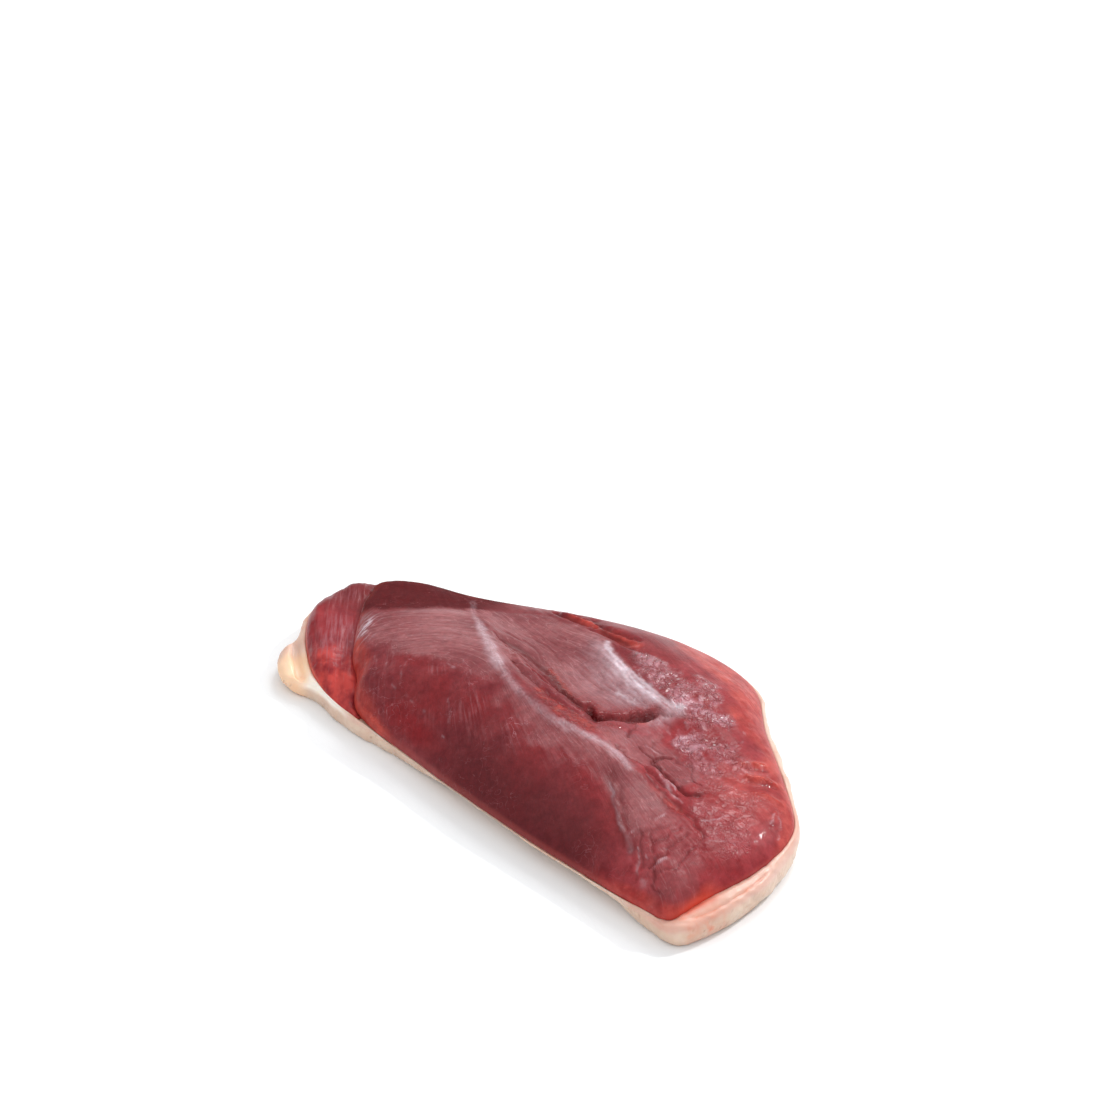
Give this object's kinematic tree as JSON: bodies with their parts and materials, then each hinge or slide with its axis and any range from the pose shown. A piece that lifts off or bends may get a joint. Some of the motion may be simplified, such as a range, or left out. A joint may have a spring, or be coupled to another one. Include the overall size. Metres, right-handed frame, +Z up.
{
  "type": "raw duck breast",
  "caption": "Raw duck breast lying skin side down: dark red meat with a pale tendon line and a small end muscle, in a dish of cream fat and skin.",
  "frame": {"origin": "on the table under the middle of the footprint", "axes": "+X along the breast to its broad end, +Y across it to the wing side, +Z up, meat side up"},
  "size_m": [0.1827, 0.0984, 0.0254],
  "materials": {
    "breast_meat": "wet raw meat, dark wine red with a mauve membrane sheen",
    "end_meat": "wet raw meat, brighter red with short fibres",
    "skin_fat": "cream fat and skin, satin, with follicle bumps on the skin"
  },
  "bodies": {
    "root": {"breast_muscle": "breast_meat", "end_muscle": "end_meat", "skin_fat": "skin_fat"}
  },
  "joints": []
}
